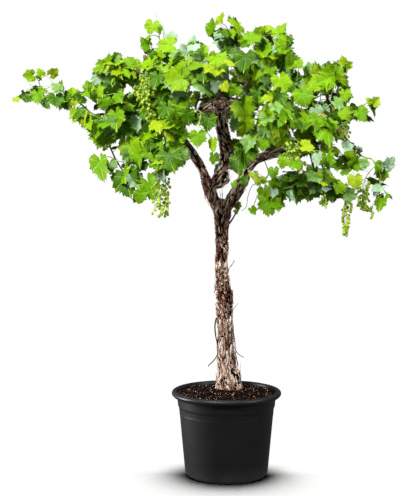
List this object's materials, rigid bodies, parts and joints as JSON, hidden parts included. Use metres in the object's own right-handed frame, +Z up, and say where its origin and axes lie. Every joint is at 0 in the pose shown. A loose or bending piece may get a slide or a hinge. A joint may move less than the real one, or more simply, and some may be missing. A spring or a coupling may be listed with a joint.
{
  "type": "potted grapevine",
  "caption": "Old standard grapevine in a black nursery pot: shaggy trunk, forked boughs and an open, leafy top with hanging bunches.",
  "frame": {"origin": "middle of the pot's flat underside, on the floor", "axes": "+Z up along the trunk, +Y away from the front of the picture's view, +X to its right"},
  "size_m": [1.6577, 1.0272, 2.0233],
  "materials": {
    "pot": "black moulded polypropylene, satin",
    "soil": "moist bark compost with chips",
    "bark": "shaggy, peeling vine bark",
    "foliage": "living vine leaves, shoots and unripe grapes"
  },
  "bodies": {
    "root": {"head_bough": "bark", "head_burr": "bark", "head_spur": "bark", "leaves_back": "foliage", "leaves_back_left": "foliage", "leaves_back_right": "foliage", "leaves_front": "foliage", "leaves_front_right": "foliage", "leaves_head_left": "foliage", "leaves_left_front": "foliage", "leaves_left_heart": "foliage", "leaves_left_low": "foliage", "leaves_left_mid": "foliage", "leaves_left_shoot": "foliage", "leaves_left_tip": "foliage", "leaves_left_upper": "foliage", "leaves_right_crotch": "foliage", "leaves_right_hang": "foliage", "leaves_right_heart": "foliage", "leaves_right_inner": "foliage", "leaves_right_reach": "foliage", "leaves_right_sprig": "foliage", "leaves_right_tip": "foliage", "leaves_right_top": "foliage", "leaves_right_under": "foliage", "leaves_right_upper": "foliage", "leaves_top": "foliage", "leaves_top_sprig": "foliage", "left_bough": "bark", "pot": "pot", "right_arm": "bark", "right_bough": "bark", "soil": "soil", "trunk": "bark"}
  },
  "joints": []
}
